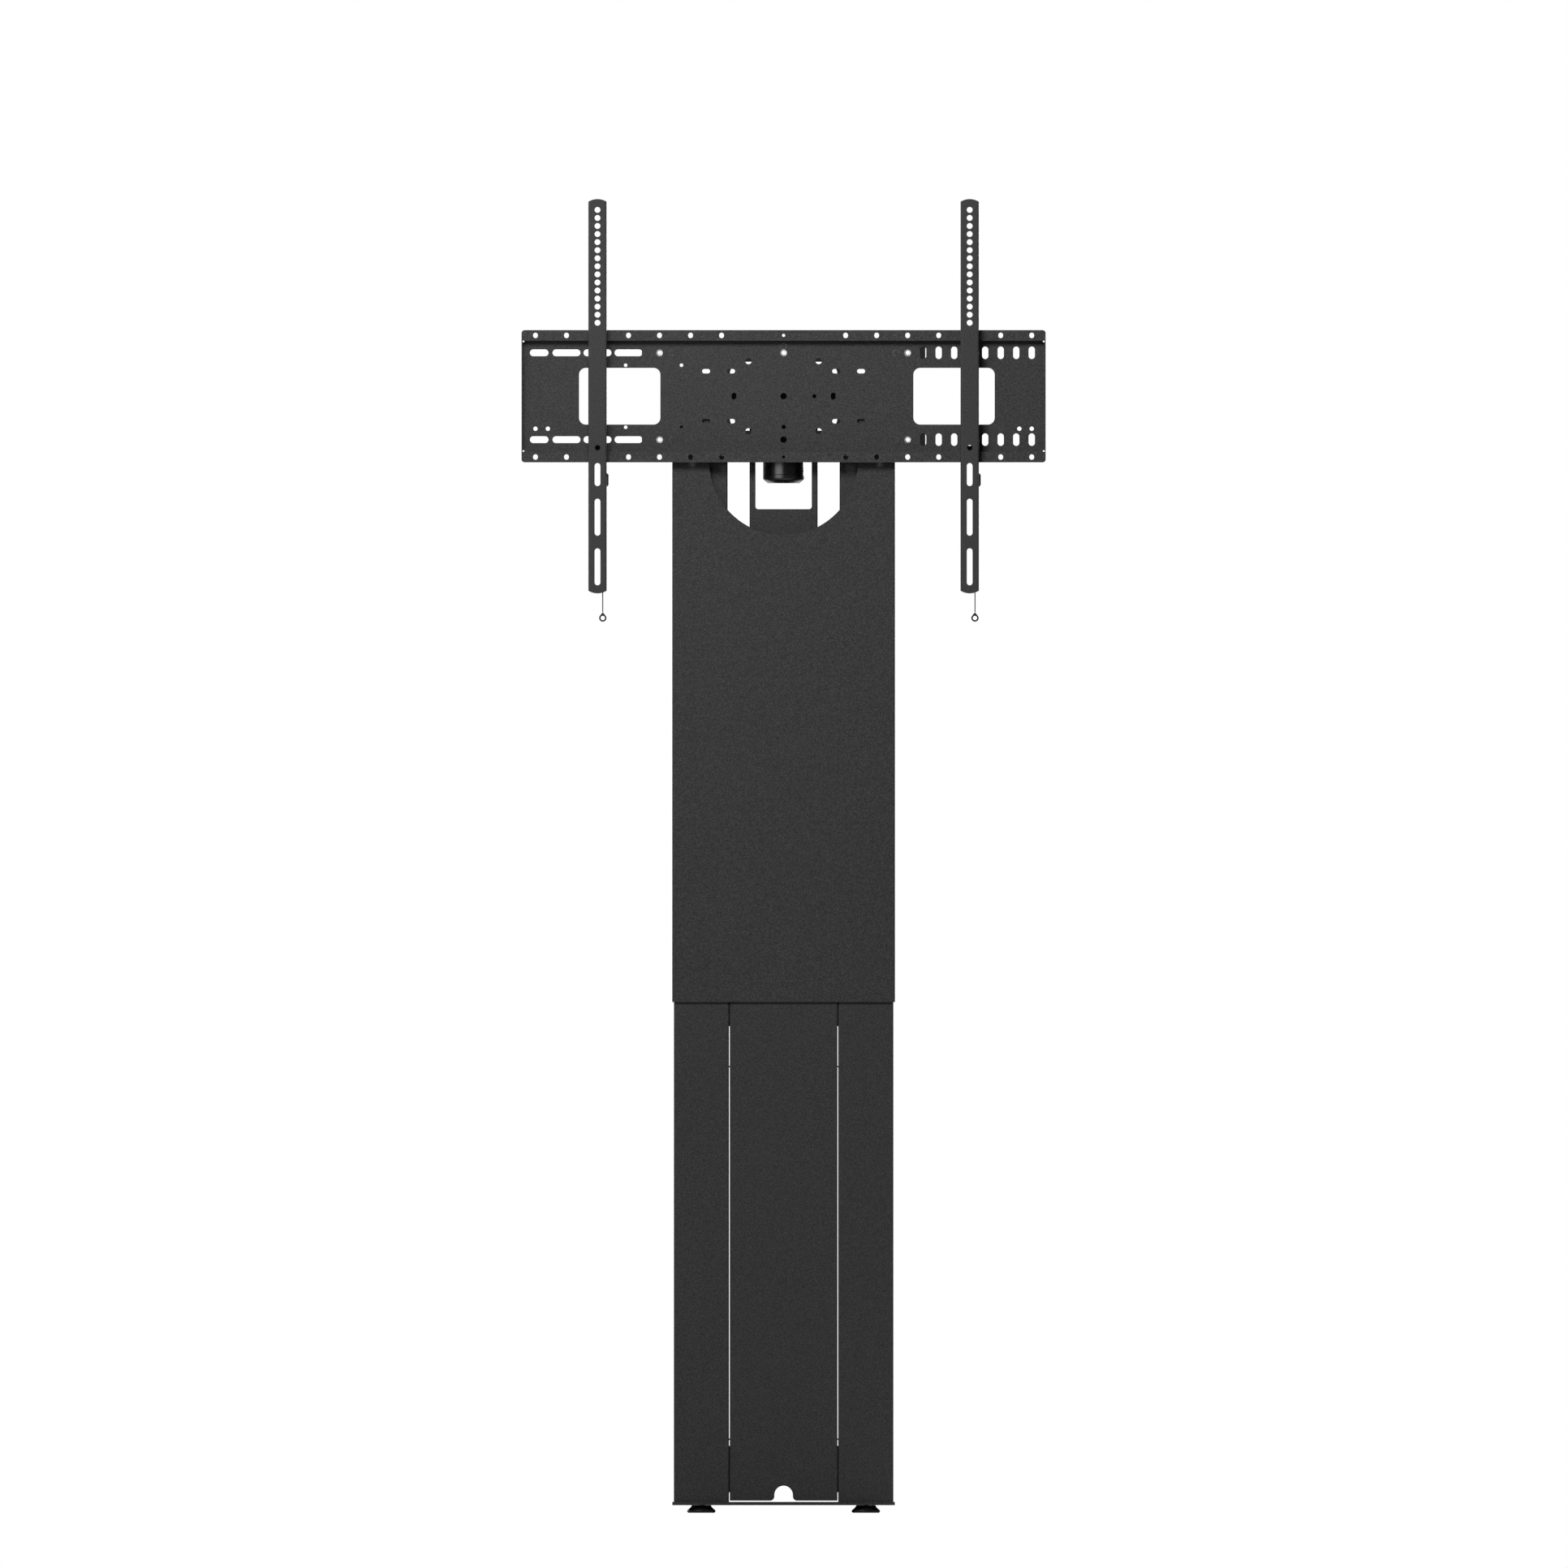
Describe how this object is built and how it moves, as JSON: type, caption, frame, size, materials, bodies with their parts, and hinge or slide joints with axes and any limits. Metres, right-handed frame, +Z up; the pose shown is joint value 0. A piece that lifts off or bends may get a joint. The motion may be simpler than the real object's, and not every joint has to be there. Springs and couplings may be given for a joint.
{
  "type": "motorized tv stand",
  "caption": "Floor-standing, wall-anchored column lift for a large display, with a slotted bracket, hook-on arms and a spindle drive inside a telescoping cover.",
  "frame": {"origin": "on the floor, under the centre of the whole object's bounding box, with the lift fully raised", "axes": "+Z up, the display faces -Y, the wall is at +Y, and +X is to the right seen from the front"},
  "size_m": [0.845, 0.2, 2.1179],
  "materials": {
    "coat": "fine textured charcoal powder coat, satin",
    "bracket_coat": "fine textured charcoal powder coat, satin",
    "foot_plastic": "moulded black",
    "zinc": "bright zinc plate",
    "pulley": "turned",
    "steel": "bright drawn steel",
    "bronze": "turned bronze",
    "nylon": "natural moulded nylon",
    "bolt_black": "black oxide",
    "motor_gloss": "gloss black",
    "box_plastic": "moulded black, fine grain",
    "belt": "black toothed belt rubber",
    "latch_black": "moulded black",
    "cord": "black cord and moulded ring"
  },
  "bodies": {
    "column": {"base_plate": "coat", "foot_nuts": "zinc", "left_casing": "coat", "right_casing": "coat", "lower_cross_member": "coat", "upper_cross_member": "coat", "lower_wall_bracket": "coat", "upper_wall_bracket": "coat", "left_support_tube": "steel", "right_support_tube": "steel", "spindle_nuts": "bronze", "casing_glides": "nylon", "casing_bolts": "bolt_black"},
    "door": {"front_door": "coat"},
    "front_left_foot": {"foot_front_left": "foot_plastic", "stud_front_left": "zinc"},
    "front_right_foot": {"foot_front_right": "foot_plastic", "stud_front_right": "zinc"},
    "rear_left_foot": {"foot_rear_left": "foot_plastic", "stud_rear_left": "zinc"},
    "rear_right_foot": {"foot_rear_right": "foot_plastic", "stud_rear_right": "zinc"},
    "carriage": {"left_mast": "coat", "right_mast": "coat", "mast_glides": "nylon", "head_beam": "coat", "drive_lid": "coat", "stand_offs": "steel", "adapter_plate": "bracket_coat", "bracket_plate": "bracket_coat", "press_nuts": "zinc", "clinch_studs": "bracket_coat", "carriage_bolts": "bolt_black", "motor_cradle": "coat", "control_box": "box_plastic", "mains_inlet": "box_plastic", "motor_housing": "motor_gloss", "motor_cap": "motor_gloss", "upper_cover": "coat", "lower_cover": "coat", "splice_strip": "coat", "cover_spacers": "steel", "spindle_bearings": "steel", "drive_belts": "belt"},
    "motor_rotor": {"motor_shaft": "steel", "drive_pulley": "pulley"},
    "left_screw": {"left_spindle": "steel", "left_pulley": "pulley"},
    "right_screw": {"right_spindle": "steel", "right_pulley": "pulley"},
    "left_bar": {"left_arm": "bracket_coat", "left_latch_spring": "steel"},
    "left_catch": {"left_latch": "latch_black", "left_pull_cord": "cord", "left_pull_ring": "cord"},
    "right_bar": {"right_arm": "bracket_coat", "right_latch_spring": "steel"},
    "right_catch": {"right_latch": "latch_black", "right_pull_cord": "cord", "right_pull_ring": "cord"}
  },
  "joints": [
    {"name": "lift", "type": "slide", "parent": "column", "child": "carriage", "axis": [0, 0, 1], "range_m": [-0.65, 0]},
    {"name": "motor_spin", "type": "hinge", "parent": "carriage", "child": "motor_rotor", "pos_m": [0, 0.02, 1.8], "axis": [0, 0, 1], "range_deg": [-11701, 0]},
    {"name": "left_screw_spin", "type": "hinge", "parent": "carriage", "child": "left_screw", "pos_m": [-0.1315, 0.02, 1.8], "axis": [0, 0, 1], "range_deg": [-11701, 0]},
    {"name": "right_screw_spin", "type": "hinge", "parent": "carriage", "child": "right_screw", "pos_m": [0.1315, 0.02, 1.8], "axis": [0, 0, 1], "range_deg": [-11701, 0]},
    {"name": "door_lift", "type": "slide", "parent": "column", "child": "door", "axis": [0, 0, 1], "range_m": [0, 0.012]},
    {"name": "front_left_foot_turn", "type": "hinge", "parent": "column", "child": "front_left_foot", "pos_m": [-0.1326, -0.015, 0.015], "axis": [0, 0, 1], "continuous": true},
    {"name": "front_right_foot_turn", "type": "hinge", "parent": "column", "child": "front_right_foot", "pos_m": [0.1326, -0.015, 0.015], "axis": [0, 0, 1], "continuous": true},
    {"name": "rear_left_foot_turn", "type": "hinge", "parent": "column", "child": "rear_left_foot", "pos_m": [-0.1326, 0.075, 0.015], "axis": [0, 0, 1], "continuous": true},
    {"name": "rear_right_foot_turn", "type": "hinge", "parent": "column", "child": "rear_right_foot", "pos_m": [0.1326, 0.075, 0.015], "axis": [0, 0, 1], "continuous": true},
    {"name": "left_arm_slide", "type": "slide", "parent": "carriage", "child": "left_bar", "axis": [1, 0, 0], "range_m": [-0.1, 0.2]},
    {"name": "right_arm_slide", "type": "slide", "parent": "carriage", "child": "right_bar", "axis": [1, 0, 0], "range_m": [-0.2, 0.1]},
    {"name": "left_latch_pull", "type": "slide", "parent": "left_bar", "child": "left_catch", "axis": [0, 0, 1], "range_m": [-0.009, 0], "stiffness_N_per_m": 800, "springref_m": 0.006, "deforming": ["left_latch_spring"]},
    {"name": "right_latch_pull", "type": "slide", "parent": "right_bar", "child": "right_catch", "axis": [0, 0, 1], "range_m": [-0.009, 0], "stiffness_N_per_m": 800, "springref_m": 0.006, "deforming": ["right_latch_spring"]}
  ],
  "couplings": [
    {"joint": "motor_spin", "follows": "lift", "rad_per_m": 314.16},
    {"joint": "left_screw_spin", "follows": "lift", "rad_per_m": 314.16},
    {"joint": "right_screw_spin", "follows": "lift", "rad_per_m": 314.16}
  ]
}
